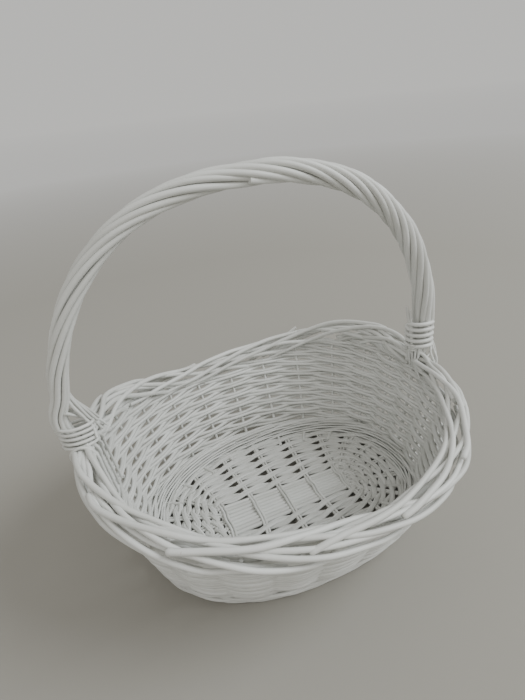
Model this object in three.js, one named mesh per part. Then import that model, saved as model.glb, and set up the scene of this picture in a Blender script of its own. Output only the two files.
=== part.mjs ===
// Oval willow basket with a boat-shaped rim and a fixed bow handle over its long axis.
// Millimetres, +Z up, X along the basket, the floor at z = 0.
import * as THREE from 'three';

// Driving dimensions

// The oval that the basket stands on, measured outside.
const BASE = { halfLength: 149, halfWidth: 113, squareness: 2.25, plateThickness: 3.6, plateCorners: 60 };

// The line through the middle of the rim border. Its ends stand higher than its sides,
// and it is hand-made: a little pinched, skewed and tipped.
const RIM = {
  halfLength: 172, halfWidth: 157, squareness: 2.26, midHeight: 118.4, endRise: 18.6,
  shift: [-0.6, 1.3], pinchCos: -0.023, pinchSin: -0.010, skew: 0.040,
  tipLengthways: -7.4, tipSideways: -1.9, twist: 3.1, wobble: 3.1,
};

// The wall runs from just inside the base oval up to the rim, with a slight belly.
const WALL = { footInset: 7, belly: 0.10, outside: 3, inside: -2, aboveUpsett: 12.9, belowRim: 9.3 };

// The upsett ring's section: distances out from the base oval, and heights.
const UPSETT = [[-18, 0], [0, 0], [1.5, 6], [0, 12.5], [-11, 12.5], [-18, 8]];

const STAKE = { count: 24, radius: 1.8, offset: -4.7, sides: 6, steps: 5 };
const BORDER = { radius: 8.8, arcsEachSide: 3, sides: 8, steps: 8, gapAtHandle: 0.0155, gapBetween: 0.0012 };

// The panel of straight sticks in the middle of the base, which fan out to its edge.
const PANEL = {
  centreY: -5, longCount: 9, longPitch: 4.9, crossCount: 5, crossPitch: 33.8,
  halfLength: 74, halfWidth: 23, longWidth: 3.8, crossWidth: 6, thickness: 2.6,
  crossHeight: 5.3, longHeight: 8.3, longFan: 9, crossFan: 17, edgeInset: 24,
};

// The bow: its widest half width, its top, its roundness and how far its top leans to the front.
const BOW = {
  halfWidth: 180, top: 342.7, roundness: 2.336, lean: -12.7, steps: 30, footBlend: 0.35,
  legOffset: -7.4, legDrops: [110, 85, 60, 35, 12],
};
const CORE = { radius: 4.0, sides: 8, steps: 50 };
const STRAND = { count: 8, radius: 2.35, helixRadius: 7.0, turns: 3.3, sides: 5, steps: 46, start: 0.142 };
const BINDING = {
  turns: 5, pitch: 4.1, radius: 1.7, helixRadius: 11.7, sides: 5, stepsEachTurn: 10,
  rightStart: 0.155, leftStart: 0.855,
};
const TIE = { radius: 1.5, clearance: 0.5, sides: 6, steps: 14, wrap: 270, fromFoot: 0.0225 };

const RING_SEGMENTS = 72;
const NEARBY_TURN = 0.002;
const OVAL_CROWDING = 0.042;
const DEGREE = Math.PI / 180;

const WHITE_PAINT = { color: 0xdedcd5, roughness: 0.55, metalness: 0 };
const GREYED_PAINT = { color: 0xd2d0c8, roughness: 0.65, metalness: 0 };

// Curves of the basket

const signedPower = (value, power) => Math.sign(value) * Math.abs(value) ** power;
const mix = (from, to, share) => from + (to - from) * share;

// A point on an oval, at an angle in radians that starts on +X. A squareness of 2 is an ellipse.
function ovalPoint(angle, halfLength, halfWidth, squareness) {
  const power = 2 / squareness;
  return [halfLength * signedPower(Math.cos(angle), power), halfWidth * signedPower(Math.sin(angle), power)];
}

// Equal turns are nearly equal walks round the base: angles crowd at the middles of sides and ends.
function angleOfTurn(turn) {
  const even = 2 * Math.PI * turn;
  return even - OVAL_CROWDING * Math.sin(4 * even);
}

function rimPoint(turn) {
  const angle = angleOfTurn(turn);
  const [x, y] = ovalPoint(angle, RIM.halfLength, RIM.halfWidth, RIM.squareness);
  const along = x / RIM.halfLength;
  const across = y / RIM.halfWidth;
  const spread = 1 + RIM.pinchCos * Math.cos(3 * angle) + RIM.pinchSin * Math.sin(3 * angle)
    + RIM.skew * Math.sin(2 * angle);
  const height = RIM.midHeight + RIM.endRise * (along * along - across * across)
    + RIM.tipLengthways * along + RIM.tipSideways * across
    + RIM.twist * Math.sin(2 * angle) + RIM.wobble * Math.sin(3 * angle);
  return new THREE.Vector3(x * spread + RIM.shift[0], y * spread + RIM.shift[1], height);
}

// The wall's middle surface: share is 0 at the floor and 1 at the rim.
function wallMiddle(turn, share) {
  const foot = ovalPoint(angleOfTurn(turn), BASE.halfLength - WALL.footInset,
    BASE.halfWidth - WALL.footInset, BASE.squareness);
  const rim = rimPoint(turn);
  const spread = share + WALL.belly * share * (1 - share);
  return new THREE.Vector3(mix(foot[0], rim.x, spread), mix(foot[1], rim.y, spread), rim.z * share);
}

// A point that lies a level distance outside the curve at this turn.
function offsetOutwards(curve, turn, distance) {
  const along = curve(turn + NEARBY_TURN).sub(curve(turn - NEARBY_TURN));
  const outwards = new THREE.Vector3(along.y, -along.x, 0).normalize();
  return curve(turn).addScaledVector(outwards, distance);
}

// The wall between the upsett and the border: level is 0 at its bottom edge and 1 at its top edge.
function wallPoint(turn, level, offset) {
  const rimHeight = rimPoint(turn).z;
  const share = mix(WALL.aboveUpsett, rimHeight - WALL.belowRim, level) / rimHeight;
  return offsetOutwards((place) => wallMiddle(place, share), turn, offset);
}

// Solids

function circleShape(radius, sides) {
  const corners = [];
  for (let corner = 0; corner < sides; corner++) {
    const angle = (2 * Math.PI * corner) / sides;
    corners.push(new THREE.Vector2(radius * Math.cos(angle), radius * Math.sin(angle)));
  }
  return new THREE.Shape(corners);
}

function sweep(shape, points, steps) {
  const extrudePath = new THREE.CatmullRomCurve3(points);
  return new THREE.ExtrudeGeometry(shape, { steps, extrudePath, bevelEnabled: false });
}

const rod = (points, radius, sides, steps) => sweep(circleShape(radius, sides), points, steps);

// A closed ring: a lathed profile whose every corner is then moved to its own place on the oval.
function ovalRing(profile, place) {
  const closed = [...profile, profile[0]];
  const spun = closed.map(([out, up]) => new THREE.Vector2(100 + out, up));
  const geometry = new THREE.LatheGeometry(spun, RING_SEGMENTS);
  const position = geometry.attributes.position;
  for (let index = 0; index < position.count; index++) {
    const turn = (Math.floor(index / closed.length) % RING_SEGMENTS) / RING_SEGMENTS;
    const point = place(turn, ...closed[index % closed.length]);
    position.setXYZ(index, point.x, point.y, point.z);
  }
  return geometry;
}

const basket = new THREE.Group();

function addPiece(group, name, geometry, paint) {
  const mesh = new THREE.Mesh(geometry, new THREE.MeshStandardMaterial(paint));
  mesh.name = name;
  group.add(mesh);
}

function addGroup(...pieces) {
  const group = new THREE.Group();
  pieces.forEach((addTo) => addTo(group));
  basket.add(group);
}

// Base: a woven oval plate round the panel, with its straight sticks on top

function addBaseWeave(group) {
  const inset = 0.5 - UPSETT[0][0];
  const edge = [];
  for (let corner = 0; corner < BASE.plateCorners; corner++) {
    const point = ovalPoint(angleOfTurn(corner / BASE.plateCorners), BASE.halfLength - inset,
      BASE.halfWidth - inset, BASE.squareness);
    edge.push(new THREE.Vector2(...point));
  }
  const plate = new THREE.Shape(edge);
  const { halfLength, halfWidth, centreY } = PANEL;
  const window = [[-halfLength, -halfWidth], [halfLength, -halfWidth],
    [halfLength, halfWidth], [-halfLength, halfWidth]];
  plate.holes.push(new THREE.Path(window.map(([x, y]) => new THREE.Vector2(x, y + centreY))));
  const options = { depth: BASE.plateThickness, bevelEnabled: false };
  addPiece(group, 'base_weave', new THREE.ExtrudeGeometry(plate, options), GREYED_PAINT);
}

function flatStick(width, thickness) {
  const shape = new THREE.Shape();
  shape.moveTo(-thickness / 2, -width / 2);
  shape.lineTo(thickness / 2, -width / 2);
  shape.lineTo(thickness / 2, width / 2);
  shape.lineTo(-thickness / 2, width / 2);
  return shape;
}

// The place on the edge of the base where a stick's fanned end stops.
function stickEnd(angle, height) {
  const [x, y] = ovalPoint(angle, BASE.halfLength - PANEL.edgeInset, BASE.halfWidth - PANEL.edgeInset,
    BASE.squareness);
  return new THREE.Vector3(x, y, height);
}

function addLongSticks(group) {
  const shape = flatStick(PANEL.longWidth, PANEL.thickness);
  for (let stick = 0; stick < PANEL.longCount; stick++) {
    const place = stick - (PANEL.longCount - 1) / 2;
    const y = PANEL.centreY + place * PANEL.longPitch;
    const fan = place * PANEL.longFan * DEGREE;
    const points = [stickEnd(Math.PI - fan, PANEL.longHeight)];
    [-1, -0.5, 0, 0.5, 1].forEach((share) => {
      points.push(new THREE.Vector3(share * PANEL.halfLength, y, PANEL.longHeight));
    });
    points.push(stickEnd(fan, PANEL.longHeight));
    addPiece(group, `base_long_stick_${stick + 1}`, sweep(shape, points, 12), WHITE_PAINT);
  }
}

function addCrossSticks(group) {
  const shape = flatStick(PANEL.crossWidth, PANEL.thickness);
  for (let stick = 0; stick < PANEL.crossCount; stick++) {
    const place = stick - (PANEL.crossCount - 1) / 2;
    const x = place * PANEL.crossPitch;
    const fan = place * PANEL.crossFan * DEGREE;
    const points = [stickEnd(-Math.PI / 2 + fan, PANEL.crossHeight)];
    [-1, 0, 1].forEach((share) => {
      const y = PANEL.centreY + share * PANEL.halfWidth;
      points.push(new THREE.Vector3(x, y, PANEL.crossHeight));
    });
    points.push(stickEnd(Math.PI / 2 - fan, PANEL.crossHeight));
    addPiece(group, `base_cross_stick_${stick + 1}`, sweep(shape, points, 8), WHITE_PAINT);
  }
}

// Wall: the upsett ring, the woven shell above it and the stakes inside the shell

function addUpsett(group) {
  const baseOval = (turn) => {
    const point = ovalPoint(angleOfTurn(turn), BASE.halfLength, BASE.halfWidth, BASE.squareness);
    return new THREE.Vector3(...point, 0);
  };
  const geometry = ovalRing(UPSETT, (turn, out, up) => offsetOutwards(baseOval, turn, out).setZ(up));
  addPiece(group, 'upsett_ring', geometry, WHITE_PAINT);
}

function addSideWeave(group) {
  const levels = [0, 0.33, 0.67, 1];
  const outside = levels.map((level) => [WALL.outside, level]);
  const inside = [...levels].reverse().map((level) => [WALL.inside, level]);
  const geometry = ovalRing([...outside, ...inside], (turn, out, level) => wallPoint(turn, level, out));
  addPiece(group, 'side_weave', geometry, WHITE_PAINT);
}

// The handle's own rods stand where the stakes at the two ends would be.
function addStakes(group) {
  let number = 0;
  for (let stake = 0; stake < STAKE.count; stake++) {
    if (stake % (STAKE.count / 2) === 0) continue;
    number += 1;
    const turn = stake / STAKE.count;
    const points = [0.01, 0.33, 0.67, 0.985].map((level) => wallPoint(turn, level, STAKE.offset));
    const geometry = rod(points, STAKE.radius, STAKE.sides, STAKE.steps);
    addPiece(group, `stake_${number}`, geometry, WHITE_PAINT);
  }
}

// Border: the thick open plait on the rim, in arcs that leave room for the handle's legs

function addBorder(group) {
  const half = 0.5 - 2 * BORDER.gapAtHandle;
  const arc = half / BORDER.arcsEachSide;
  ['back', 'front'].forEach((side, sideIndex) => {
    for (let number = 0; number < BORDER.arcsEachSide; number++) {
      const start = 0.5 * sideIndex + BORDER.gapAtHandle + number * arc + BORDER.gapBetween;
      const end = start + arc - 2 * BORDER.gapBetween;
      const points = [];
      for (let step = 0; step <= BORDER.steps; step++) {
        points.push(rimPoint(mix(start, end, step / BORDER.steps)));
      }
      const geometry = rod(points, BORDER.radius, BORDER.sides, BORDER.steps);
      addPiece(group, `border_${side}_${number + 1}`, geometry, WHITE_PAINT);
    }
  });
}

// Handle: a bow from one end of the rim over the basket to the other

const RIGHT_FOOT = rimPoint(0);
const LEFT_FOOT = rimPoint(0.5);

// The bow's middle line above the rim: angle 0 is the right foot and pi the left.
function bowPoint(angle) {
  const middle = new THREE.Vector3().addVectors(RIGHT_FOOT, LEFT_FOOT).multiplyScalar(0.5);
  const cosine = Math.cos(angle);
  const sine = Math.sin(angle);
  const power = 2 / BOW.roundness;
  const foot = new THREE.Vector3().lerpVectors(LEFT_FOOT, RIGHT_FOOT, (1 + cosine) / 2);
  const footX = cosine > 0 ? RIGHT_FOOT.x : LEFT_FOOT.x;
  const pull = Math.max(0, 1 - sine / BOW.footBlend) ** 2;
  const bulge = middle.x + Math.sign(cosine) * BOW.halfWidth;
  const x = middle.x + BOW.halfWidth * signedPower(cosine, power) + (footX - bulge) * pull;
  const z = foot.z + (BOW.top - middle.z) * sine ** power;
  return new THREE.Vector3(x, foot.y + BOW.lean * sine, z);
}

// Where a leg lies against the inside of the wall, this far below the rim.
function legPoint(turn, drop) {
  const rimHeight = rimPoint(turn).z;
  const level = (rimHeight - drop - WALL.aboveUpsett) / (rimHeight - WALL.belowRim - WALL.aboveUpsett);
  return wallPoint(turn, level, BOW.legOffset);
}

// The whole route of the handle's core: up inside the right end, over, and down inside the left end.
function coreRoute() {
  const right = BOW.legDrops.map((drop) => legPoint(0, drop));
  const left = BOW.legDrops.map((drop) => legPoint(0.5, drop)).reverse();
  const bow = [];
  for (let step = 1; step < BOW.steps; step++) {
    bow.push(bowPoint((Math.PI * step) / BOW.steps));
  }
  return new THREE.CatmullRomCurve3([...right, ...bow, ...left]);
}

const CORE_ROUTE = coreRoute();

function addCore(group) {
  const points = CORE_ROUTE.getSpacedPoints(CORE.steps);
  addPiece(group, 'handle_core', rod(points, CORE.radius, CORE.sides, CORE.steps), WHITE_PAINT);
}

// A point beside the core's route, at an angle round it. Angles grow as a right-handed screw.
function besideRoute(share, angle, distance) {
  const along = CORE_ROUTE.getTangentAt(share);
  const side = new THREE.Vector3(0, 1, 0).addScaledVector(along, -along.y).normalize();
  const other = new THREE.Vector3().crossVectors(along, side);
  return CORE_ROUTE.getPointAt(share)
    .addScaledVector(side, distance * Math.cos(angle))
    .addScaledVector(other, distance * Math.sin(angle));
}

function addStrands(group) {
  for (let strand = 0; strand < STRAND.count; strand++) {
    const points = [];
    for (let step = 0; step <= STRAND.steps; step++) {
      const walk = step / STRAND.steps;
      const share = mix(STRAND.start, 1 - STRAND.start, walk);
      const angle = 2 * Math.PI * (strand / STRAND.count + STRAND.turns * walk);
      points.push(besideRoute(share, angle, STRAND.helixRadius));
    }
    const geometry = rod(points, STRAND.radius, STRAND.sides, STRAND.steps);
    addPiece(group, `handle_strand_${strand + 1}`, geometry, WHITE_PAINT);
  }
}

// Bindings: a coil round each leg, and ties round the border on both sides of it

function addBinding(group, name, startShare, direction) {
  const length = CORE_ROUTE.getLength();
  const steps = BINDING.turns * BINDING.stepsEachTurn;
  const points = [];
  for (let step = 0; step <= steps; step++) {
    const turns = step / BINDING.stepsEachTurn;
    const share = startShare + (direction * turns * BINDING.pitch) / length;
    points.push(besideRoute(share, 2 * Math.PI * turns, BINDING.helixRadius));
  }
  addPiece(group, name, rod(points, BINDING.radius, BINDING.sides, steps), WHITE_PAINT);
}

function addTie(group, name, turn) {
  const centre = rimPoint(turn);
  const along = rimPoint(turn + NEARBY_TURN).sub(rimPoint(turn - NEARBY_TURN)).normalize();
  const outwards = new THREE.Vector3(along.y, -along.x, 0).normalize();
  const upwards = new THREE.Vector3().crossVectors(outwards, along);
  const distance = BORDER.radius + TIE.clearance + TIE.radius;
  const points = [];
  for (let step = 0; step <= TIE.steps; step++) {
    const angle = DEGREE * (90 + TIE.wrap * (step / TIE.steps - 0.5));
    points.push(centre.clone()
      .addScaledVector(outwards, distance * Math.cos(angle))
      .addScaledVector(upwards, distance * Math.sin(angle)));
  }
  addPiece(group, name, rod(points, TIE.radius, TIE.sides, TIE.steps), WHITE_PAINT);
}

function addTies(group) {
  addTie(group, 'right_tie_back', TIE.fromFoot);
  addTie(group, 'left_tie_back', 0.5 - TIE.fromFoot);
  addTie(group, 'left_tie_front', 0.5 + TIE.fromFoot);
  addTie(group, 'right_tie_front', 1 - TIE.fromFoot);
}

addGroup(addBaseWeave, addCrossSticks, addLongSticks);
addGroup(addUpsett, addSideWeave, addStakes);
addGroup(addBorder);
addGroup(addCore, addStrands);
addGroup(
  (group) => addBinding(group, 'right_binding', BINDING.rightStart, 1),
  (group) => addBinding(group, 'left_binding', BINDING.leftStart, -1),
  addTies,
);

// The frame's origin is on the floor, below the middle of the whole outline.
basket.updateMatrixWorld(true);
const outline = new THREE.Box3().setFromObject(basket);
const middle = outline.getCenter(new THREE.Vector3());
basket.position.set(-middle.x, -middle.y, 0);

export default basket;
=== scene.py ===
# %% [markdown]
# # A white willow flower girl basket
# The basket is woven from thin willow rods and then sprayed white: an oval base, a flared wall, a thick plaited
# border and a tall bow handle. Each family of rods is a piece of its own, because that is how a basket maker adds
# them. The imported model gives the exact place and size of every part, so it is loaded first as a fixed frame.

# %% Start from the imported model
import math

import bpy
import numpy as np
from mathutils import Matrix, Vector


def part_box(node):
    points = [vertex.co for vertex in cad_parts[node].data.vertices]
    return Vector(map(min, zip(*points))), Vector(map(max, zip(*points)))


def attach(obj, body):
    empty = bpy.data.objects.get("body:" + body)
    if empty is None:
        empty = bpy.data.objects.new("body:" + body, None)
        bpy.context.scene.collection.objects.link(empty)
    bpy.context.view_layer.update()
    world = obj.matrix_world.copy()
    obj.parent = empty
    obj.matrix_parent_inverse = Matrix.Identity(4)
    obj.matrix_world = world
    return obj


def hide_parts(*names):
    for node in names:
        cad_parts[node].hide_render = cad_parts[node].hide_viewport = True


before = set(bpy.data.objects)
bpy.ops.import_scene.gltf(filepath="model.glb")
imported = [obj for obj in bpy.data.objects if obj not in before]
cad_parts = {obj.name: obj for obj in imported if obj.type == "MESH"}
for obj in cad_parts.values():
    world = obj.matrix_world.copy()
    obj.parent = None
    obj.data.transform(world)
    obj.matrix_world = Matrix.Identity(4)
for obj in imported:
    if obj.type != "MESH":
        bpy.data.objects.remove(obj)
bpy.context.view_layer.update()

# %% [markdown]
# ## The maker's lines
# A basket maker works along a few imagined lines: the oval of the base, the line of the rim, and the bow of the
# handle. Everything else is set off from those. They could be drawn by hand, but as formulas they can be asked for
# a point anywhere, which is what a weave needs. The formulas are in millimetres about the middle of the base, and
# one function carries their points into the frame.

# %% Where the middle of the base is
low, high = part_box("base_weave")
MIDDLE = np.array([(low.x + high.x) / 2, (low.y + high.y) / 2, 0.0])
dice = np.random.default_rng(7)


def placed(points):
    """Points in millimetres about the middle of the base, as points in the frame, in metres."""
    return np.asarray(points, float) / 1000 + MIDDLE


print("middle of the base", MIDDLE.round(4))

# %% Sizes in millimetres
BASE = dict(half_length=149, half_width=113, squareness=2.25)
RIM = dict(half_length=172, half_width=157, squareness=2.26, mid_height=118.4, end_rise=18.6, shift=(-0.6, 1.3),
           pinch_cos=-0.023, pinch_sin=-0.010, skew=0.040, tip_lengthways=-7.4, tip_sideways=-1.9,
           twist=3.1, wobble=3.1)
WALL = dict(foot_inset=7, belly=0.10, above_foot=12.9, below_rim=9.3)
BOW = dict(half_width=180, top=342.7, roundness=2.336, lean=-12.7, foot_blend=0.35, leg_offset=-7.4)
LASHING = dict(gather=0.28, gather_width=0.02, left_turn=0.455, pull_width=0.03, pull_in=7.5, pull_down_right=6.0,
               pull_down_left=3.5)
STAKES = 24
OVAL_CROWDING = 0.042

# %% The ovals and the wall between them


def signed_power(value, power):
    return np.sign(value) * np.abs(value) ** power


def oval_point(angle, half_length, half_width, squareness):
    power = 2 / squareness
    return np.stack([half_length * signed_power(np.cos(angle), power),
                     half_width * signed_power(np.sin(angle), power)], -1)


def angle_of_turn(turn):
    """Turn 0 is the right foot of the handle, 0.25 the back and 0.5 the left foot. Stakes stand evenly by turn."""
    even = 2 * np.pi * np.asarray(turn, float)
    return even - OVAL_CROWDING * np.sin(4 * even)


def rim_point(turn):
    """The line through the middle of the border."""
    angle = angle_of_turn(turn)
    flat = oval_point(angle, RIM["half_length"], RIM["half_width"], RIM["squareness"])
    along, across = flat[..., 0] / RIM["half_length"], flat[..., 1] / RIM["half_width"]
    spread = (1 + RIM["pinch_cos"] * np.cos(3 * angle) + RIM["pinch_sin"] * np.sin(3 * angle)
              + RIM["skew"] * np.sin(2 * angle))
    height = (RIM["mid_height"] + RIM["end_rise"] * (along ** 2 - across ** 2) + RIM["tip_lengthways"] * along
              + RIM["tip_sideways"] * across + RIM["twist"] * np.sin(2 * angle) + RIM["wobble"] * np.sin(3 * angle))
    return np.concatenate([flat * spread[..., None] + RIM["shift"], height[..., None]], -1)


def base_point(turn, inset=0.0):
    """A point on the oval of the base, moved inwards, at height 0."""
    flat = oval_point(angle_of_turn(turn), BASE["half_length"] - inset, BASE["half_width"] - inset,
                      BASE["squareness"])
    return np.concatenate([flat, np.zeros(flat.shape[:-1] + (1,))], -1)


def wall_middle(turn, share):
    """The middle of the wall: share is 0 at the base and 1 at the rim."""
    share = np.asarray(share, float)[..., None]
    foot, rim = base_point(turn, WALL["foot_inset"]), rim_point(turn)
    spread = share + WALL["belly"] * share * (1 - share)
    point = foot + (rim - foot) * spread
    point[..., 2:] = rim[..., 2:] * share
    return point


def outwards_of(curve, turn):
    """The level direction that points out of the basket, square to a curve round it."""
    along = curve(np.asarray(turn, float) + 0.002) - curve(np.asarray(turn, float) - 0.002)
    out = np.stack([along[..., 1], -along[..., 0], np.zeros(along.shape[:-1])], -1)
    return out / np.linalg.norm(out, axis=-1, keepdims=True)


def wall_height(turn):
    return rim_point(turn)[..., 2] - WALL["below_rim"] - WALL["above_foot"]


def wall_point(turn, level, offset=0.0, up=0.0):
    """Level is 0 just above the foot rows and 1 just under the border. Offset is outwards, up is up the wall."""
    turn = np.asarray(turn, float)
    share = (WALL["above_foot"] + level * wall_height(turn) + up) / rim_point(turn)[..., 2]
    share = np.broadcast_to(share, turn.shape)
    out = outwards_of(lambda t: wall_middle(t, share), turn)
    return wall_middle(turn, share) + out * np.broadcast_to(np.asarray(offset, float), turn.shape)[..., None]


def bump(turn, middle, width):
    """A smooth bump along the rim, 1 at its middle."""
    away = (np.asarray(turn, float) - middle + 0.5) % 1 - 0.5
    return np.exp(-(away / width) ** 2)


def border_point(turn, out, up):
    """A point beside the middle of the border: out of the basket, and up. The lashings draw the rods together at
    the feet of the handle, and pull the rim down a little beside them."""
    turn = np.asarray(turn, float)
    gather = (1 - LASHING["gather"] * bump(turn, 0.0, LASHING["gather_width"])
              - LASHING["gather"] * bump(turn, 0.5, LASHING["gather_width"]))
    beside_left = bump(turn, LASHING["left_turn"], LASHING["pull_width"])
    pulled_down = (LASHING["pull_down_right"] * bump(turn, 0.0, LASHING["pull_width"])
                   + LASHING["pull_down_left"] * beside_left)
    away = np.asarray(out, float) * gather - LASHING["pull_in"] * beside_left
    point = rim_point(turn) + outwards_of(rim_point, turn) * away[..., None]
    point[..., 2] += up * gather - pulled_down
    return point


print("rim height at the feet", rim_point(np.array([0.0, 0.5]))[:, 2].round(1), "mm")

# %% The bow of the handle


def bow_point(angle):
    """The middle of the handle. Angle 0 is the right foot and pi the left foot."""
    angle = np.asarray(angle, float)
    right, left = rim_point(np.array(0.0)), rim_point(np.array(0.5))
    middle, power = (right + left) / 2, 2 / BOW["roundness"]
    foot = left + (right - left) * ((1 + np.cos(angle)) / 2)[..., None]
    foot_x = np.where(np.cos(angle) > 0, right[0], left[0])
    pull = np.maximum(0, 1 - np.sin(angle) / BOW["foot_blend"]) ** 2
    bulge = middle[0] + np.sign(np.cos(angle)) * BOW["half_width"]
    rise = np.abs(np.sin(angle))
    return np.stack([middle[0] + BOW["half_width"] * signed_power(np.cos(angle), power) + (foot_x - bulge) * pull,
                     foot[..., 1] + BOW["lean"] * rise,
                     foot[..., 2] + (BOW["top"] - middle[2]) * rise ** power], -1)


def leg_point(turn, drop):
    """A point on the part of a handle leg that runs down inside the wall, so far below the rim."""
    level = (rim_point(turn)[..., 2] - drop - WALL["above_foot"]) / wall_height(turn)
    return wall_point(turn, level, BOW["leg_offset"])


LEG_DROPS = np.array([110, 85, 60, 35, 12])
LEG_INSET = np.array([8.5, 8.5, 8.5, 7.0, 3.0])[:, None] * [1, 0, 0]      # the legs end inside the weave
BOW_ANGLES = np.pi * np.arange(1, 30) / 30
HANDLE_ROUTE = np.concatenate([
    leg_point(np.zeros(5), LEG_DROPS) + LEG_INSET, bow_point(BOW_ANGLES),
    leg_point(np.full(5, 0.5), LEG_DROPS[::-1]) - LEG_INSET[::-1]])
LEAN_HEIGHTS_RIGHT, LEAN_RIGHT = [100, 120, 138, 150, 172], [0, 2, 3.5, 2.5, 0]
LEAN_HEIGHTS_LEFT = [110, 130, 150, 160, 168, 178, 195, 230, 300, 340]
LEAN_LEFT = [0, 5, 11, 12, 10, 5.5, 1, -1.5, -1.5, 0]
on_right, height = HANDLE_ROUTE[:, 0] > 0, HANDLE_ROUTE[:, 2]             # both legs stand upright at the rim
HANDLE_ROUTE[:, 0] += np.where(on_right, np.interp(height, LEAN_HEIGHTS_RIGHT, LEAN_RIGHT),
                               -np.interp(height, LEAN_HEIGHTS_LEFT, LEAN_LEFT))
print("top of the handle's middle line", HANDLE_ROUTE[:, 2].max().round(1), "mm")

# %% [markdown]
# ## Nodes and shader maths
# Blender's nodes can be wired one by one, but a pattern is easier to read as a sum. One function adds a node and
# fills in its inputs, for materials and for Geometry Nodes alike. A small class holds the socket of a material node
# and turns +, - and * into Math nodes. Every other material node comes from one method.

# %% Add a node and fill in its inputs


def add_node(tree, kind, settings=(), **inputs):
    """Inputs go by name, with _ for a space, or by number, as in i0. Each is a value, a socket or a Wire."""
    made = tree.nodes.new(kind)
    for name, value in dict(settings).items():
        setattr(made, name, value)
    for name, value in inputs.items():
        by_number = name[0] == "i" and name[1:].isdigit()
        socket = made.inputs[int(name[1:]) if by_number else name.replace("_", " ")]
        value = value.socket if isinstance(value, Wire) else value
        if isinstance(value, bpy.types.NodeSocket):
            tree.links.new(value, socket)
        else:
            socket.default_value = value
    return made


# %% A socket that can be added and multiplied


class Wire:
    """A number that varies over the surface: one socket of a node, with ordinary arithmetic."""

    def __init__(self, tree, socket=None):
        self.tree, self.socket = tree, socket

    def node(self, kind, settings=(), **inputs):
        return add_node(self.tree, kind, settings, **inputs)

    def out(self, kind, settings=(), output=0, **inputs):
        return Wire(self.tree, self.node(kind, settings, **inputs).outputs[output])

    def maths(self, operation, a, b):
        return self.out("ShaderNodeMath", dict(operation=operation), i0=a, i1=b)

    def __add__(self, other): return self.maths("ADD", self, other)
    def __radd__(self, other): return self.maths("ADD", other, self)
    def __sub__(self, other): return self.maths("SUBTRACT", self, other)
    def __mul__(self, other): return self.maths("MULTIPLY", self, other)

    def step(self, low, high):
        """0 below low and 1 above high, with an even slope between."""
        return self.out("ShaderNodeMapRange", dict(clamp=True), Value=self, From_Min=low, From_Max=high,
                        To_Min=0.0, To_Max=1.0)

    def mix(self, first, second):
        """A colour between two colours, by this number."""
        return self.out("ShaderNodeMix", dict(data_type="RGBA"), 2, i0=self, i6=first, i7=second)


def opaque(colour):
    """A colour with its fourth number, for a socket."""
    return tuple(colour) + (1.0,)


print("node and shader helpers ready")

# %% [markdown]
# ## The paint
# The rods are sprayed with a satin white that has greyed a little. It takes the tint of the willow under it a little
# differently on each rod, and shows fine ridges where the bark was peeled. Here and there a bare tan spot shows. An
# image could hold all that, but a procedural paint needs no unwrapping: it reads the place and two attributes that
# the rods carry, a random shade for each rod and a grain coordinate that runs along it.

# %% Painted willow


def painted_willow(name, light, dark, tan, bare, roughness):
    """Satin paint between two shades, with ridges along each rod. Bare is how far the tan shows in the spots."""
    paint = bpy.data.materials.new(name)
    paint.use_nodes = True
    tree = paint.node_tree
    shader = tree.nodes["Principled BSDF"]
    grain = Wire(tree)
    shade = grain.out("ShaderNodeAttribute", dict(attribute_name="shade"), 2)
    along_rod = grain.out("ShaderNodeAttribute", dict(attribute_name="grain"), 1)
    place = grain.out("ShaderNodeTexCoord", (), 3)
    ridges = grain.out("ShaderNodeTexNoise", (), 0, Vector=along_rod, Scale=2.2, Detail=3.0, Roughness=0.6)
    clouds = grain.out("ShaderNodeTexNoise", (), 0, Vector=place, Scale=38.0, Detail=3.0, Roughness=0.6)
    flecks = grain.out("ShaderNodeTexNoise", (), 0, Vector=place, Scale=150.0, Detail=4.0, Roughness=0.7)
    tone = shade * 0.50 + ridges * 0.25 + clouds * 0.45 - 0.10
    spots = flecks.step(0.70, 0.76) * clouds.step(0.46, 0.62) * bare
    colour = spots.mix(tone.step(0.0, 1.0).mix(opaque(dark), opaque(light)), opaque(tan))
    tree.links.new(colour.socket, shader.inputs["Base Color"])
    tree.links.new((roughness + (clouds - 0.5) * 0.25).socket, shader.inputs["Roughness"])
    bump = grain.node("ShaderNodeBump", (), Height=ridges * 0.7 + flecks * 0.3, Strength=0.25, Distance=0.0004)
    tree.links.new(bump.outputs[0], shader.inputs["Normal"])
    return paint


PAINT = painted_willow("painted_willow", light=(0.72, 0.725, 0.70), dark=(0.50, 0.50, 0.465),
                       tan=(0.30, 0.235, 0.165), bare=0.5, roughness=0.5)
print("paint:", PAINT.name)

# %% [markdown]
# ## One tree for every rod
# All the parts of the basket are rods: a line through space with a thickness that tapers from butt to tip. The rod
# tree takes such lines, bends them a little as real willow bends, lays a round section along them and closes the
# ends. One Geometry Nodes tree with named inputs serves every family of rods, so each family only has to say where
# its lines run. The random parts have a fixed seed, so the basket is the same each time.

# %% Build the rod tree


def new_tree(name, inputs):
    tree = bpy.data.node_groups.new(name, "GeometryNodeTree")
    tree.interface.new_socket("Geometry", in_out="INPUT", socket_type="NodeSocketGeometry")
    tree.interface.new_socket("Geometry", in_out="OUTPUT", socket_type="NodeSocketGeometry")
    for label, kind, value in inputs:
        socket = tree.interface.new_socket(label, in_out="INPUT", socket_type=kind)
        if value is not None:
            socket.default_value = value
    return tree


def group_maths(tree, operation, a, b):
    """A Math node in a Geometry Nodes tree."""
    return add_node(tree, "ShaderNodeMath", dict(operation=operation), i0=a, i1=b).outputs[0]


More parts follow.
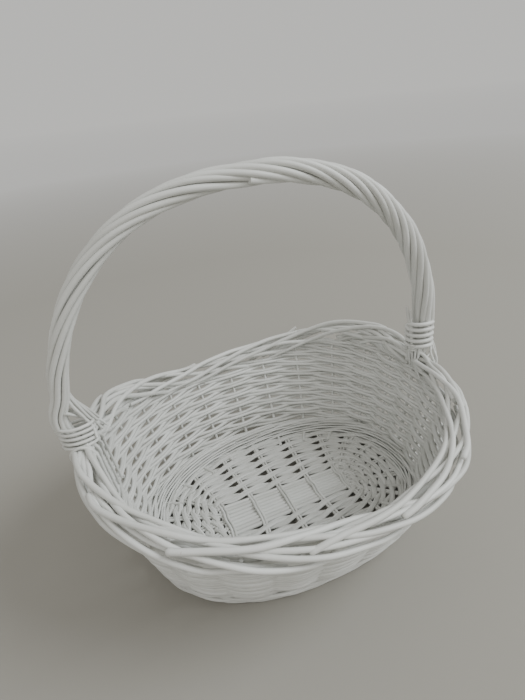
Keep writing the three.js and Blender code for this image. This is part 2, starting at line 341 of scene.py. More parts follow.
def stored(tree, geometry, name, kind, domain, value):
    """The geometry with a named attribute stored on it."""
    return add_node(tree, "GeometryNodeStoreNamedAttribute", dict(data_type=kind, domain=domain), Geometry=geometry,
                    Name=name, i3=value).outputs[0]


def named(tree, name, kind="FLOAT"):
    """Reads a stored attribute back."""
    return add_node(tree, "GeometryNodeInputNamedAttribute", dict(data_type=kind), Name=name).outputs[0]


def build_rod_tree():
    tree = new_tree("rods_from_lines", [
        ("Sides", "NodeSocketInt", 6), ("Bend", "NodeSocketFloat", 0.001), ("Bend size", "NodeSocketFloat", 20.0),
        ("Unevenness", "NodeSocketFloat", 0.06), ("Grain", "NodeSocketFloat", 60.0), ("Seed", "NodeSocketInt", 1),
        ("Paint", "NodeSocketMaterial", None)])
    given = tree.nodes.new("NodeGroupInput").outputs
    rod_dice = add_node(tree, "FunctionNodeRandomValue", dict(data_type="FLOAT"), Seed=given["Seed"],
                        ID=add_node(tree, "GeometryNodeInputIndex").outputs[0]).outputs[1]
    shaded = stored(tree, given["Geometry"], "shade", "FLOAT", "CURVE", rod_dice)
    shade = named(tree, "shade")
    measured = stored(tree, shaded, "along", "FLOAT", "POINT",
                      add_node(tree, "GeometryNodeSplineParameter").outputs["Length"])
    # bend each rod by a slow noise that differs from rod to rod
    where = add_node(tree, "ShaderNodeVectorMath", dict(operation="SCALE"), Scale=given["Bend size"],
                     i0=add_node(tree, "GeometryNodeInputPosition").outputs[0]).outputs[0]
    moment = group_maths(tree, "MULTIPLY", shade, 37.0)
    drift = add_node(tree, "ShaderNodeTexNoise", dict(noise_dimensions="4D"), Vector=where, W=moment, Scale=1.0,
                     Detail=1.0).outputs["Color"]
    centred = add_node(tree, "ShaderNodeVectorMath", dict(operation="SUBTRACT"), i0=drift, i1=(0.5, 0.5, 0.5))
    push = add_node(tree, "ShaderNodeVectorMath", dict(operation="SCALE"), i0=centred.outputs[0], Scale=given["Bend"])
    bent = add_node(tree, "GeometryNodeSetPosition", Geometry=measured, Offset=push.outputs[0]).outputs[0]
    # a round section that swells and thins a little
    lumps = add_node(tree, "ShaderNodeTexNoise", dict(noise_dimensions="4D"), Vector=where, W=moment, Scale=1.7,
                     Detail=1.0).outputs["Fac"]
    swell = add_node(tree, "ShaderNodeMapRange", dict(clamp=False), Value=lumps, From_Min=0.0, From_Max=1.0,
                     To_Min=group_maths(tree, "SUBTRACT", 1.0, given["Unevenness"]),
                     To_Max=group_maths(tree, "ADD", 1.0, given["Unevenness"])).outputs[0]
    radius = group_maths(tree, "MULTIPLY", add_node(tree, "GeometryNodeInputRadius").outputs[0], swell)
    circle = add_node(tree, "GeometryNodeCurvePrimitiveCircle", Resolution=given["Sides"], Radius=1.0).outputs[0]
    section = stored(tree, circle, "section", "FLOAT_VECTOR", "POINT",
                     add_node(tree, "GeometryNodeInputPosition").outputs[0])
    rods = add_node(tree, "GeometryNodeCurveToMesh", Curve=bent, Profile_Curve=section, Scale=radius,
                    Fill_Caps=True).outputs[0]
    smooth = add_node(tree, "GeometryNodeSetShadeSmooth", Geometry=rods, Shade_Smooth=True).outputs[0]
    # the grain coordinate: round the rod, and along it from a start of its own
    around = add_node(tree, "ShaderNodeSeparateXYZ", i0=named(tree, "section", "FLOAT_VECTOR")).outputs
    run = group_maths(tree, "MULTIPLY", named(tree, "along"), given["Grain"])
    offset = add_node(tree, "ShaderNodeMath", dict(operation="MULTIPLY_ADD"), i0=shade, i1=90.0, i2=run).outputs[0]
    grain = add_node(tree, "ShaderNodeCombineXYZ", X=around[0], Y=around[1], Z=offset).outputs[0]
    grained = stored(tree, smooth, "grain", "FLOAT_VECTOR", "POINT", grain)
    real = add_node(tree, "GeometryNodeRealizeInstances", Geometry=grained).outputs[0]
    painted = add_node(tree, "GeometryNodeSetMaterial", Geometry=real, Material=given["Paint"])
    tree.links.new(painted.outputs[0], tree.nodes.new("NodeGroupOutput").inputs[0])
    return tree


ROD_TREE = build_rod_tree()
print("rod tree:", len(ROD_TREE.nodes), "nodes")

# %% Give lines to the tree and keep the mesh


def smooth_path(points, steps=6, closed=False):
    """A smooth line through a few points, by Catmull-Rom."""
    points = np.asarray(points, float)
    if closed:
        padded = np.concatenate([points[-1:], points, points[:2]])
    else:
        padded = np.concatenate([2 * points[:1] - points[1:2], points, 2 * points[-1:] - points[-2:-1]])
    share = np.arange(steps)[:, None] / steps
    parts = []
    for a, b, c, d in zip(padded[:-3], padded[1:-2], padded[2:-1], padded[3:]):
        parts.append(0.5 * (2 * b + (c - a) * share + (2 * a - 5 * b + 4 * c - d) * share ** 2
                            + (3 * b - a - 3 * c + d) * share ** 3))
    return np.concatenate(parts + ([] if closed else [points[-1:]]))


def along_path(path):
    """How far along a line each of its points is."""
    return np.concatenate([[0], np.cumsum(np.linalg.norm(np.diff(path, axis=0), axis=1))])


def tapered(count, butt, tip):
    """The radius of a rod at each of its points, from the thick end to the thin."""
    return np.linspace(butt, tip, count)


def make_rods(name, rods, replaces, sides=6, bend=0.001, bend_size=20.0, unevenness=0.06, seed=1):
    """rods is a list of (points in mm, radius or radii in mm, closed or not). Makes them one piece of the basket."""
    lines = bpy.data.curves.new(name + "_lines", "CURVE")
    lines.dimensions = "3D"
    lines.twist_mode = "MINIMUM"
    for points, radius, *closed in rods:
        points = placed(points)
        spline = lines.splines.new("POLY")
        spline.points.add(len(points) - 1)
        spline.points.foreach_set("co", np.concatenate([points, np.ones((len(points), 1))], 1).ravel())
        spline.points.foreach_set("radius", np.broadcast_to(np.asarray(radius, float) / 1000, len(points)).copy())
        spline.use_cyclic_u = bool(closed and closed[0])
    guide = bpy.data.objects.new(name + "_lines", lines)
    bpy.context.scene.collection.objects.link(guide)
    modifier = guide.modifiers.new("rods", "NODES")
    modifier.node_group = ROD_TREE
    wanted = {"Sides": sides, "Bend": bend, "Bend size": bend_size, "Unevenness": unevenness, "Seed": seed,
              "Paint": PAINT}
    for item in ROD_TREE.interface.items_tree:
        if item.in_out == "INPUT" and item.name in wanted:
            modifier[item.identifier] = wanted[item.name]
    bpy.context.view_layer.update()
    ready = guide.evaluated_get(bpy.context.evaluated_depsgraph_get())
    mesh = bpy.data.meshes.new_from_object(ready)
    mesh.name = name
    bpy.data.objects.remove(guide)
    piece = bpy.data.objects.new(name, mesh)
    bpy.context.scene.collection.objects.link(piece)
    if replaces:
        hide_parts(*replaces)
    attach(piece, "root")


# %% [markdown]
# ## The panel and spokes of the base
# The base starts as a flat panel: nine split sticks lie side by side and five pairs cross over them. Past the panel
# the sticks fan out, in pairs, and become the spokes that the base is woven on. Each could be a bent box, but they
# are round rods on the real basket, so they are lines for the rod tree too.

# %% Where each spoke runs
PANEL = dict(centre_y=-5, half_length=74, half_width=23, narrowing=0.11, pitch=4.9, cross_pitch=33.8, end_pitch=9.4)
SPOKES_EACH = 5                        # on each of the four sides of the panel
SPOKES = 4 * SPOKES_EACH


def panel_point(x, y, z):
    """A point on the panel, whose sticks lie closer together at the right end."""
    return np.array([x, PANEL["centre_y"] + y * (1 - PANEL["narrowing"] * (1 + x / PANEL["half_length"])), z])


SPOKE_STARTS, SPOKE_TURNS = [], []
for k in range(SPOKES_EACH):           # the right end, from the front to the back
    SPOKE_STARTS.append(panel_point(PANEL["half_length"], (k - 2) * PANEL["end_pitch"], 0))
    SPOKE_TURNS.append((k - 2) / SPOKES)
for k in range(SPOKES_EACH):           # the back, from right to left
    SPOKE_STARTS.append(panel_point((2 - k) * PANEL["cross_pitch"], PANEL["half_width"], 0))
    SPOKE_TURNS.append((k + 3) / SPOKES)
for k in range(SPOKES_EACH):           # the left end
    SPOKE_STARTS.append(panel_point(-PANEL["half_length"], (2 - k) * PANEL["end_pitch"], 0))
    SPOKE_TURNS.append((k + 8) / SPOKES)
for k in range(SPOKES_EACH):           # the front, from left to right
    SPOKE_STARTS.append(panel_point((k - 2) * PANEL["cross_pitch"], -PANEL["half_width"], 0))
    SPOKE_TURNS.append((k + 13) / SPOKES)
SPOKE_STARTS, SPOKE_TURNS = np.array(SPOKE_STARTS), np.array(SPOKE_TURNS)
SPOKE_ENDS = base_point(SPOKE_TURNS, 10)
print(len(SPOKE_STARTS), "spokes")

# %% The sticks and spokes
SPOKE_HEIGHT, SPOKE_GAP = 5.2, 1.5      # the gap is from the middle of a pair to each of its rods
panel_rods = []
for k in range(9):                     # the long sticks of the panel, side by side
    y = (k - 4) * PANEL["pitch"]
    ends = [panel_point(side * (PANEL["half_length"] - 2), y, SPOKE_HEIGHT - 0.4) for side in (-1, 1)]
    line = smooth_path([ends[0], (ends[0] * 2 + ends[1]) / 3, (ends[0] + ends[1] * 2) / 3, ends[1]], 4)
    panel_rods.append((line, 2.25))
spoke_rods = []


def pair_of(start, end):
    """Two thin rods side by side from start to end."""
    along = (end - start) / np.linalg.norm(end - start)
    beside = np.array([-along[1], along[0], 0.0])
    made = []
    for side in (-1, 1):
        middle = start + (end - start) * np.linspace(0, 1, 6)[:, None]
        shake = dice.normal(0, 0.25, (6, 1)) * beside
        made.append((smooth_path(middle + beside * side * SPOKE_GAP + shake, 4), tapered(21, 1.5, 1.3)))
    return made


for k in range(SPOKES_EACH):           # the cross pairs lie over the panel and run on as the side spokes
    x = (k - 2) * PANEL["cross_pitch"]
    back, front = 5 + (4 - k), 15 + k
    for side in (-1, 1):
        aside = dice.uniform(-0.18, 0.18)
        points = [SPOKE_ENDS[front], SPOKE_STARTS[front], panel_point(x, 0, 0), SPOKE_STARTS[back],
                  SPOKE_ENDS[back]]
        heights = [SPOKE_HEIGHT, SPOKE_HEIGHT + 1.2, SPOKE_HEIGHT + 3.3, SPOKE_HEIGHT + 1.2, SPOKE_HEIGHT]
        line = smooth_path([p * [1, 1, 0] + [0, 0, z] for p, z in zip(points, heights)], 8)
        spoke_rods.append((line + [side * SPOKE_GAP + aside, 0, 0], 1.45))
for end, first in ((1, 0), (-1, 10)):  # the long sticks gather into five spokes at each end
    for k in range(first, first + SPOKES_EACH):
        start, finish = SPOKE_STARTS[k].copy(), SPOKE_ENDS[k].copy()
        start[0] -= end * 4
        start[2], finish[2] = SPOKE_HEIGHT, SPOKE_HEIGHT
        spoke_rods += pair_of(start, finish)
make_rods("base_panel", panel_rods, [f"base_long_stick_{k}" for k in range(1, 10)],
          sides=10, bend=0.0006, seed=11)
make_rods("base_spokes", spoke_rods, [f"base_cross_stick_{k}" for k in range(1, 6)],
          sides=8, bend=0.0006, seed=12)

# %% [markdown]
# ## The rounds of the base
# Two flat strands, each of four fine rods side by side, are twined round the spokes: one goes over a spoke while the
# other goes under, and they change places before the next. Between spokes they lie side by side and close the base.
# At a spoke they lie one above the other, the lower one pinched together, and leave a small dark triangle on each
# side. A strand is a smooth closed curve that circles its round slowly like a screw, so one wave gives its height
# and another its distance out.

# %% Weave the rounds
ROUNDS, FINE_ROD = 6, 1.4
FIRST_ROUND, WOVEN_SHARE = 0.035, 0.93                 # of the length of a spoke
round_rods = []
fine_turn = np.arange(SPOKES * 8) / 8                  # in spokes, round the base
for r in range(ROUNDS):
    share = FIRST_ROUND + WOVEN_SHARE * (r + 0.25) / ROUNDS
    spots = SPOKE_STARTS + (SPOKE_ENDS - SPOKE_STARTS) * share
    spots = spots + dice.normal(0, 0.3, spots.shape)
    ring = smooth_path(spots, 8, closed=True)
    pitch = np.linalg.norm(SPOKE_ENDS - SPOKE_STARTS, axis=1) * WOVEN_SHARE / ROUNDS
    pitch = np.interp(fine_turn, np.arange(SPOKES + 1), np.append(pitch, pitch[0]))
    following = np.roll(ring, -1, 0) - np.roll(ring, 1, 0)
    out = np.stack([following[:, 1], -following[:, 0], 0 * following[:, 0]], 1)
    out /= np.linalg.norm(out, axis=1, keepdims=True)
    for strand in (0, 1):
        phase = np.pi * (fine_turn + strand)
        over, under = np.clip(np.cos(phase), 0, 1), np.clip(-np.cos(phase), 0, 1)
        aside = -0.25 * pitch * (np.sin(phase) - np.sin(3 * phase) / 9)
        spread = (0.18 * pitch - 0.88) * (1 - 0.5 * under)
        for lane in (-1.5, -0.5, 0.5, 1.5):
            line = ring * [1, 1, 0] + out * (aside + lane * spread)[:, None]
            line[:, 2] = SPOKE_HEIGHT + 0.9 * np.cos(phase) + over ** 2 - 0.15 * abs(lane)
            round_rods.append((line, FINE_ROD, True))
make_rods("base_rounds", round_rods, ["base_weave"], bend=0.0008, bend_size=45.0, seed=13)

# %% [markdown]
# ## The stakes and the foot rows
# Twenty-four stakes are pushed into the base beside the spokes, bend up at the foot and carry the wall. Where they
# bend, nine rows of fine rods are twined tightly round them, three rods to a row: five up the outside and four finer
# ones over the edge of the base inside. They hold the bend and are what the basket stands on. Each rod is a closed
# wave that passes in front of two stakes and behind one, so a row is the same wave three times, a stake apart.

# %% The stakes
stake_rods = []
for k in range(STAKES):
    turn = k / STAKES
    inner = base_point(np.array(turn), 34) + [0, 0, 6.0]
    foot = base_point(np.array(turn), 12) + [0, 0, 6.4]
    bend = wall_point(np.array(turn), 0.0, -1.5, -6.5)
    rise = [wall_point(np.array(turn), level) for level in (0.0, 0.2, 0.4, 0.6, 0.8, 1.0)]
    line = smooth_path([inner, foot, bend] + rise, 5)
    stake_rods.append((line, tapered(len(line), 1.95, 1.65)))
make_rods("wall_stakes", stake_rods, [f"stake_{k}" for k in range(1, 23)], bend=0.0010, seed=14)

# %% The twined rows at the foot
foot_rods = []
STOUT, FINE = 1.6, 2.9                 # how far the rods of a row rise and fall: the fine ones wander more
FOOT_ROWS = [                          # height, inset from the edge of the base, radius, swing round the stakes, rise
    (2.2, 4.0, 2.0, 2.6, STOUT), (5.4, 3.4, 1.9, 2.8, STOUT), (8.8, 4.4, 1.75, 2.9, STOUT),
    (12.0, 5.2, 1.6, 3.0, STOUT), (15.6, 3.6, 1.7, 2.9, STOUT),
    (5.6, 15.5, 1.2, 2.4, FINE), (8.2, 12.4, 1.2, 2.6, FINE), (11.2, 10.0, 1.25, 2.6, FINE),
    (14.6, 7.6, 1.3, 2.8, FINE)]
CALM = {0: 0.15, 1: 0.5}               # the two lowest rows lie flatter, so that the basket stands
foot_turn = np.arange(STAKES * 6) / (STAKES * 6)
for row, (height, inset, radius, swing, rise) in enumerate(FOOT_ROWS):
    for rod in range(3):
        phase = (STAKES * foot_turn + rod + 0.37 * row) * 2 * np.pi / 3
        calm = CALM.get(row, 1.0)
        out = -swing * np.cos(phase) * calm
        line = base_point(foot_turn, inset) + outwards_of(base_point, foot_turn) * out[:, None]
        line[:, 2] = height + rise * np.sin(phase + 2.4) * calm
        if row:
            line[:, 2] += dice.normal(0, 0.25)
        foot_rods.append((line, radius, True))
make_rods("foot_rows", foot_rods, ["upsett_ring"], bend=0.0022, bend_size=45.0, seed=15)

# %% [markdown]
# ## The woven wall
# The wall is woven with pairs of thin rods, over one stake and under one, and each row goes the other way round the
# stakes. Rows are almost evenly high, so the taller ends take extra short rows under the border, whose ends are
# left slanting behind a stake. Each rod is a line set off from the middle of the wall by a wave. A pair is drawn
# together where it passes a stake and spreads between two stakes.

# %% Weave the wall
STEPS_PER_STAKE = 8
FIRST_ROW, ROW_PITCH, END_STRETCH = 18.6, 5.4, 1.0
ROWS, SHORTEST_ROW = 24, 1.4           # more rows than fit anywhere, and the shortest that is woven, in stakes


def row_height(turn, row):
    """Rows lie a little further apart towards the left end."""
    leftness = (1 - np.cos(2 * np.pi * np.asarray(turn))) / 2
    return FIRST_ROW + row * (ROW_PITCH + END_STRETCH * leftness ** 2)


def wall_at(turn, height, offset):
    """A point of the wall at a height above the ground."""
    share = np.asarray(height) / rim_point(turn)[..., 2]
    out = outwards_of(lambda t: wall_middle(t, share), turn)
    return wall_middle(turn, share) + out * np.broadcast_to(offset, np.shape(turn))[..., None]


def stretches(row):
    """The parts of a turn, in stakes, where the wall is tall enough for a row."""
    stakes = np.arange(STAKES)
    room = rim_point(stakes / STAKES)[:, 2] - 8.0
    fits = row_height(stakes / STAKES, row) < room
    if fits.all():
        first = int(dice.integers(0, STAKES))
        return [(first - 0.45, first + STAKES + 0.4)]
    runs, start = [], int(np.flatnonzero(~fits)[0])      # start at a stake that is too short for the row
    k = start
    while k < start + STAKES:
        if fits[k % STAKES]:
            first = k
            while fits[k % STAKES]:
                k += 1
            runs.append((first - 0.75, k - 0.25))
        k += 1
    return runs


wall_rods = []
for row in range(ROWS):
    for first, last in stretches(row):
        if last - first < SHORTEST_ROW:
            continue
        for lane in (-1, 1):
            begin, end = first + dice.uniform(-0.12, 0.12), last + dice.uniform(-0.12, 0.12)
            turn = np.linspace(begin, end, int((end - begin) * STEPS_PER_STAKE)) / STAKES
            swing = np.cos(np.pi * (STAKES * turn + row))
            pitch = row_height(turn, 1) - row_height(turn, 0)
            apart = 0.345 * pitch - 0.60 * swing ** 2
            height = row_height(turn, row) + lane * apart + dice.normal(0, 0.15)
            room = rim_point(turn)[:, 2] - 7.0 + lane
            line = wall_at(turn, np.minimum(height, room), 3.0 * swing)
            butt = dice.uniform(2.15, 2.35)
            wall_rods.append((line, tapered(len(turn), butt, butt - 0.3)))
make_rods("wall_rows", wall_rods, ["side_weave"], bend=0.0013, bend_size=28.0, unevenness=0.12,
          seed=16)

# %% [markdown]
# ## The border
# At the rim the stakes are bent over and plaited into a thick border. Every rod does nearly the same thing a little
# further on, so three patterns make it all. A rod of the outer family comes up inside, crosses to the outside and
# runs along the lower outer edge. A rod of the inner family starts with a cut end on the outside, runs along the top
# and dives inside. Six thinner rods fill the middle. Each pattern is a few points: stakes onwards, out from the
# middle, and up. Every rod is shifted and stretched a little by the dice.

# %% The three patterns of the border
OUTER_PATTERN = np.array([(0.0, -3, -17), (0.4, -6, -9), (1.0, -8.4, -3), (1.8, -7.4, 3), (2.7, -1.0, 7),
                          (3.6, 6.2, 5.0), (4.6, 9.6, -1), (5.5, 8.4, -7), (6.2, 4.0, -11)])
INNER_PATTERN = np.array([(-0.25, 7.4, 4.4), (0.2, 6.4, 7.0), (1.1, 1.6, 9.8), (2.0, -4.8, 9.2), (2.9, -9.0, 5.2),
                          (3.8, -9.8, -0.5), (4.6, -8.4, -6.5), (5.1, -5.8, -11.5)])
FILL_PATTERN = np.array([(0.0, -6, -9), (0.9, -6.5, -1.5), (1.9, -2.5, 4.5), (3.0, 2.0, 6.0), (4.2, 5.0, 4.0),
                         (5.3, 6.2, -2), (6.2, 5.0, -8)])
OUTER_COUNT, INNER_COUNT = 18, 14
FILL_STAKES = [0.8, 4.1, 7.6, 10.3, 13.0, 15.4]      # where the six thinner rods start
BORDER_BACK, BORDER_FRONT = [[f"border_{side}_{k}" for k in (1, 2, 3)] for side in ("back", "front")]


def border_rod(pattern, stake, radii, sway, stretch):
    """One rod of the border, with its thick end cut short and rounded off."""
    turn = (stake + pattern[:, 0] * stretch) / STAKES
    out = pattern[:, 1] + dice.normal(0, sway, len(turn))
    up = pattern[:, 2] + dice.normal(0, sway, len(turn))
    line = smooth_path(border_point(turn, out, up), 7)
    radius = tapered(len(line), *radii)
    radius[0] *= 0.55
    line[0] = line[0] * 0.45 + line[1] * 0.55
    return line, radius


outer_rods = [border_rod(OUTER_PATTERN, k * STAKES / OUTER_COUNT + dice.uniform(-0.2, 0.2),
                         (2.65, 2.15), 1.1, dice.uniform(0.85, 1.1)) for k in range(OUTER_COUNT)]
TIPS = [[(0.186, 1, 3), (0.175, 4, 8), (0.164, 6, 14)], [(0.135, -3, 4), (0.118, -7, 3), (0.104, -9, -1)]]
for points in TIPS:                    # two tips that were not trimmed stand out at the far side
    line = smooth_path([border_point(np.array(turn), out, up) for turn, out, up in points], 6)
    outer_rods.append((line, tapered(len(line), 1.9, 1.6)))
outer_rods += [border_rod(FILL_PATTERN, stake, (2.4, 2.1), 0.9, dice.uniform(0.9, 1.1)) for stake in FILL_STAKES]
inner_rods = [border_rod(INNER_PATTERN, k * STAKES / INNER_COUNT + dice.uniform(-0.25, 0.25), (2.7, 2.1), 1.1,
                         dice.uniform(0.8, 1.15)) for k in range(INNER_COUNT)]
make_rods("border_outer_rods", outer_rods, BORDER_BACK, sides=10, bend=0.0026, seed=17)
make_rods("border_inner_rods", inner_rods, BORDER_FRONT, sides=10, bend=0.0026, seed=18)

# %% [markdown]
# ## The handle
# Stout bow rods make the core. Eight finer rods start at one foot, twist round it like a rope and go down inside
# the wall at the other. The twist is slow on the legs and quickest at the top on the right, as it comes from a
# hand. One rod was too short, so near the top its cut end lies on the rod that carries on. A helix tool would give
# one even twist, so the lines are worked out along the bow with a turn rate that changes.

# %% The route of the handle and its frame
route = smooth_path(HANDLE_ROUTE, 6)
reach = along_path(route)
HANDLE_LENGTH = reach[-1]
STATIONS = 240
EVEN = np.linspace(0, HANDLE_LENGTH, STATIONS)
ROUTE = np.stack([np.interp(EVEN, reach, route[:, axis]) for axis in range(3)], 1)
TANGENT = np.gradient(ROUTE, EVEN, axis=0)
TANGENT /= np.linalg.norm(TANGENT, axis=1, keepdims=True)
SIDE = np.array([0.0, 1.0, 0.0]) - TANGENT[:, 1:2] * TANGENT
SIDE /= np.linalg.norm(SIDE, axis=1, keepdims=True)
OTHER = np.cross(TANGENT, SIDE)
SHARE = EVEN / HANDLE_LENGTH
print("handle rods are", round(HANDLE_LENGTH), "mm long")


def beside_route(angle, distance, first, last):
    """Points that lie so far from the middle of the handle, at an angle round it."""
    part = slice(first, last)
    angle, distance = np.broadcast_to(angle, EVEN.shape)[part], np.broadcast_to(distance, EVEN.shape)[part]
    return (ROUTE[part] + (np.cos(angle) * distance)[:, None] * SIDE[part]
            + (np.sin(angle) * distance)[:, None] * OTHER[part])


# %% The twisted strands
STRANDS, FOOT, END = 8, 30, 210         # the strands start and end at these stations
SPLICED, SPLICE_AT, OVERLAP, LAP = 7, 122, 9, 1.3
rate = np.interp(SHARE, [0, 0.16, 0.22, 0.30, 0.42, 0.55, 0.76, 0.82, 1.0],
                 [0.002, 0.006, 0.018, 0.042, 0.036, 0.028, 0.024, 0.006, 0.002])
twist = np.concatenate([[0], np.cumsum((rate[1:] + rate[:-1]) / 2 * np.diff(EVEN))])
fullness = np.interp(SHARE, [0.12, 0.16, 0.22, 0.34, 0.55, 0.78, 0.84, 0.87],
                     [1.06, 1.12, 1.20, 1.10, 1.00, 0.88, 0.78, 0.64])
strand_rods = []
for k in range(STRANDS):
    wander = 0.10 * np.sin(2 * np.pi * (SHARE * dice.uniform(1, 3) + dice.uniform(0, 1)))
    distance = (6.6 + 0.35 * np.sin(2 * np.pi * (SHARE * dice.uniform(2, 4) + dice.uniform(0, 1)))) * fullness
    angle = twist + 2 * np.pi * k / STRANDS + wander
    thick = tapered(END - FOOT, dice.uniform(2.6, 2.9), dice.uniform(2.4, 2.65)) * fullness[FOOT:END] ** 0.7
    if k == SPLICED:
        near = LAP * np.exp(-((np.arange(STATIONS) - SPLICE_AT) / 5) ** 2)
        next_rod = SPLICE_AT - OVERLAP
        strand_rods.append((beside_route(angle, distance + near, FOOT, SPLICE_AT), thick[:SPLICE_AT - FOOT]))
        strand_rods.append((beside_route(angle, distance - near, next_rod, END), 0.9 * thick[next_rod - FOOT:]))
    else:
        strand_rods.append((beside_route(angle, distance, FOOT, END), thick))
make_rods("handle_strands", strand_rods, [f"handle_strand_{k}" for k in range(1, 9)], sides=10,
          bend=0.0008, seed=19)
core = np.where((SHARE > 0.125) & (SHARE < 0.87), 4.2 * fullness, 2.0)      # thin where it hides in the wall
core = np.convolve(np.pad(core, 4, mode="edge"), np.ones(9) / 9, "valid")
make_rods("handle_core_rods", [(ROUTE, core)], ["handle_core"], sides=12, bend=0.0, seed=20)

# %% [markdown]
# ## The bindings
# At each foot a thin rod is wound about five times round the leg, and its ends are tied over the border. At the left
# more thin rods slant down from the leg and cross each other. Below the wraps the thin ends of the handle rods fan
# out down the inside of the wall, and at the right two pins stand up out of them. A wrap is a screw line about an
# upright axis, tilted so that its front is raised. The ties and ends lie as they fell, so each is drawn through a
# few points of its own.

# %% The wraps


def wraps(middle, radii, top, pitch, count, lift=0.0, start=0.0):
    """A rod wound downwards round an upright axis, with its front raised by the lift."""
    angle = start + 2 * np.pi * np.linspace(0, count, int(count * 14) + 1)
    x, y = middle[0] + radii[0] * np.cos(angle), middle[1] + radii[1] * np.sin(angle)
    z = top - pitch * (angle - start) / (2 * np.pi) - lift * np.sin(angle)
    return np.stack([x, y, z], 1)


right_wraps = [(wraps((168.3, 0.0), (13.2, 12.0), 170.5, 6.3, 4.9, 2.2, np.pi), 2.15),
               (wraps((168.6, 0.4), (12.0, 12.2), 141.5, 3.0, 0.75, 5.0, np.pi), 1.7),
               (wraps((157.0, -4.8), (2.9, 2.9), 148.5, 2.5, 3.6, 0.8), 1.25)]
left_wraps = [(wraps((-176.6, 0.4), (14.2, 11.8), 170.0, 4.5, 4.6, 2.4, np.pi), 1.5)]
make_rods("right_wraps", right_wraps, ["right_binding"], sides=8, bend=0.0016, bend_size=60, seed=21)
make_rods("left_wraps", left_wraps, ["left_binding"], sides=8, bend=0.0016, bend_size=60, seed=22)

# %% The ties over the border


def tie(first, last, radius=1.4):
    """A thin rod slung round the border, from one turn to another as it goes round."""
    share = np.linspace(0, 1, 9)
    angle = np.radians(-160 + 330 * share)
    line = border_point(first + (last - first) * share, 12.6 * np.cos(angle), 13.0 * np.sin(angle))
    return smooth_path(line, 5), radius


def free_rod(points, butt, tip):
    """A tapering rod through a few points."""
    line = smooth_path(points, 6)
    return line, tapered(len(line), butt, tip)


ties = {
    "right_tie_back": [tie(0.004, 0.014), tie(0.000, 0.010, radius=1.2)],
    "right_tie_front": [
        free_rod([(181, -1, 150), (184.5, -4, 141), (185, -8, 130), (181.5, -11, 119)], 1.3, 1.1),
        free_rod([(180, -5, 149), (179.5, -10, 139), (180.5, -15, 129), (178, -18, 118)], 1.3, 1.1),
        free_rod([(176, -9, 149), (173.5, -13.5, 138), (174, -19, 129), (173, -23, 120)], 1.2, 1.0),
        free_rod([(182, 3, 152), (180, -6, 143), (172, -13, 136), (163, -13, 130)], 1.3, 1.0)],
    "left_tie_back": [tie(0.494, 0.478), tie(0.486, 0.470, radius=1.2),
                      free_rod([(-180, -7, 186), (-172, 0, 176), (-164, 9, 165), (-160, 15, 152)], 1.4, 1.1),
                      free_rod([(-179, 8, 180), (-171, 6, 173), (-164, -3, 166), (-163, -8, 156)], 1.3, 1.1),
                      free_rod([(-181, 4, 183), (-171, 12, 174), (-164, 19, 160)], 1.2, 1.0),
                      free_rod([(-176, -1, 208), (-173.5, 0.5, 194), (-169, 3, 180), (-164, 4.5, 167)], 1.6, 1.3),
                      free_rod([(-175, 2, 202), (-171.5, 4, 189), (-166, 7, 176), (-160, 10, 162)], 1.6, 1.3),
                      free_rod([(-175.5, 5, 197), (-170.5, 9, 184), (-164, 14, 171), (-158, 18, 158)], 1.5, 1.2),
                      free_rod([(-177, -4, 200), (-173, -3, 186), (-168, -2, 174), (-163, -3, 160)], 1.5, 1.2)],
    "left_tie_front": [tie(0.503, 0.517), tie(0.510, 0.500, radius=1.2)]}
for name, rods in ties.items():
    make_rods(name + "_rods", rods, [name], sides=8, bend=0.0010, seed=23)

# %% The thin ends that fan down inside, and two pins that stand up
fan = [free_rod([(151.8, 1.0, 190), (154.0, 0.4, 178), (155.6, -1.6, 166), (156.4, -3.6, 152), (157.0, -4.6, 140)],
                1.3, 1.8),
       free_rod([(154.6, -1.0, 186), (156.4, -1.8, 172), (156.8, -2.6, 160)], 1.0, 1.4)]
for k, (x, y) in enumerate([(154.8, -2.0), (156.2, -5.0), (158.0, -7.5), (160.5, -9.0)]):
    down = wall_at(np.array(0.003 - 0.007 * k), np.array(121.0 - 3 * k), -5.0)
    bend = (x * 0.4 + down[0] * 0.6 - 0.8, y, 124)
    fan.append(free_rod([(x + 1, y, 144), (x, y - 0.5, 134), bend, down], 1.35, 0.9))
for k in range(3):                     # border rods that are drawn up to the foot of the right leg and tied there
    climb = [border_point(np.array(turn), 1.5 * k - 3.5 + 30 * abs(turn), 8.5 - 2.2 * k)
             for turn in (-0.085, -0.055, -0.030)]
    tied = [(166.0 + 2.2 * k, -11.5, 135.0 - 1.5 * k), (159.5 + 1.8 * k, -6.0, 140.5)]
    fan.append(free_rod(climb + tied, 2.4, 1.8))
for k in range(4):                     # the left leg's ends
    turn = 0.516 - 0.014 * k
    top = np.array([-172.5 + 2.6 * k, -9.5 + 3.6 * k, 154])
    middle = wall_at(np.array(turn), np.array(128.0), -9.0)
    down = wall_at(np.array(turn + 0.004), np.array(96.0 - 4 * k), -5.5)
    fan.append(free_rod([top, top * 0.4 + middle * 0.6 + [1.5, 0, 3], middle, down], 1.75, 1.2))
make_rods("leg_ends", fan, [], sides=8, bend=0.0016, seed=24)

# %% [markdown]
# ## Floor, light and camera
# The basket stands on a plain pale floor that runs off into a pale surround. A wide soft lamp stands for a window up
# to the right and in front, a weak one fills from the left, and the surround fills the rest of the shadows. A far
# floor lit by lamps would turn dark, so from about a metre out it glows instead, and with distance it takes on
# the brightness of the surround, so that hardly any horizon shows.

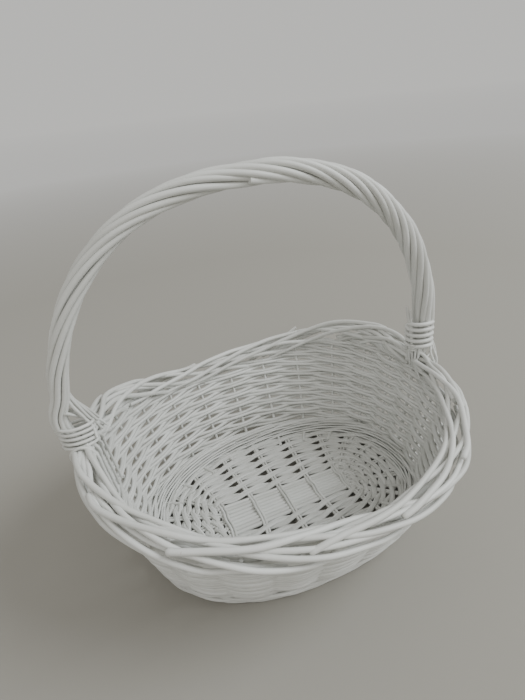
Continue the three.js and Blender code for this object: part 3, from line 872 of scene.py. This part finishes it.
# %% The floor
SURROUND, SURROUND_STRENGTH, GLOW_STRENGTH = (0.72, 0.715, 0.69), 0.90, 0.80
FLOOR_SIZE, FLOOR_HEIGHT = 30, -0.0005  # in metres
floor_mesh = bpy.data.meshes.new("floor")
corners = [(x * FLOOR_SIZE, y * FLOOR_SIZE, FLOOR_HEIGHT) for x, y in ((-1, -1), (1, -1), (1, 1), (-1, 1))]
floor_mesh.from_pydata(corners, [], [(0, 1, 2, 3)])
floor = bpy.data.objects.new("floor", floor_mesh)
bpy.context.scene.collection.objects.link(floor)
ground = bpy.data.materials.new("pale_ground")
ground.use_nodes = True
tree = ground.node_tree
matt = tree.nodes["Principled BSDF"]
matt.inputs["Base Color"].default_value = (0.315, 0.30, 0.265, 1)
matt.inputs["Roughness"].default_value = 0.9
wire = Wire(tree)
distance = wire.out("ShaderNodeVectorMath", dict(operation="LENGTH"), 1, i0=wire.out("ShaderNodeTexCoord", (), 3))
dimmed = [c * GLOW_STRENGTH / SURROUND_STRENGTH for c in SURROUND]
glow = wire.node("ShaderNodeEmission", (), Strength=SURROUND_STRENGTH,
                 Color=distance.step(3.0, 12.0).mix(opaque(dimmed), opaque(SURROUND)))
blend = wire.node("ShaderNodeMixShader", (), i0=distance.step(0.9, 3.2), i1=matt.outputs[0], i2=glow.outputs[0])
tree.links.new(blend.outputs[0], tree.nodes["Material Output"].inputs["Surface"])
floor_mesh.materials.append(ground)

# %% The surround and the lamps
world = bpy.data.worlds.new("surround")
bpy.context.scene.world = world
world.use_nodes = True
background = world.node_tree.nodes["Background"]
background.inputs["Color"].default_value = opaque(SURROUND)
background.inputs["Strength"].default_value = SURROUND_STRENGTH


def soft_lamp(name, place, towards, size, power, colour):
    data = bpy.data.lights.new(name, "AREA")
    data.shape, data.size, data.energy, data.color = "DISK", size, power, colour
    lamp = bpy.data.objects.new(name, data)
    bpy.context.scene.collection.objects.link(lamp)
    lamp.location = place
    lamp.rotation_euler = (Vector(towards) - Vector(place)).to_track_quat("-Z", "Y").to_euler()


soft_lamp("window", (3.4, -1.6, 3.2), (0, 0, 0.1), 3.0, 215.0, (0.92, 0.965, 1.0))
soft_lamp("fill", (-0.9, -2.4, 1.8), (0, 0, 0.1), 2.4, 18.0, (1.0, 0.99, 0.97))
print("lamps ready")

# %% The camera
AZIMUTH, ELEVATION, ROLL = math.radians(-19.349), math.radians(28.201), math.radians(-6.585)
back = Vector((math.sin(AZIMUTH) * math.cos(ELEVATION), -math.cos(AZIMUTH) * math.cos(ELEVATION),
               math.sin(ELEVATION)))
right = (-back).cross(Vector((0, 0, 1))).normalized()
up = right.cross(-back)
across = math.cos(ROLL) * right + math.sin(ROLL) * up
upright = -math.sin(ROLL) * right + math.cos(ROLL) * up
camera_data = bpy.data.cameras.new("camera")
camera_data.lens, camera_data.sensor_width = 25.163, 36
camera = bpy.data.objects.new("camera", camera_data)
bpy.context.scene.collection.objects.link(camera)
camera.rotation_mode = "QUATERNION"
camera.rotation_quaternion = Matrix((across, upright, back)).transposed().to_quaternion()
camera.location = (-0.13198, -0.37373, 0.39842)
bpy.context.scene.camera = camera
print("camera at", tuple(round(v, 3) for v in camera.location))
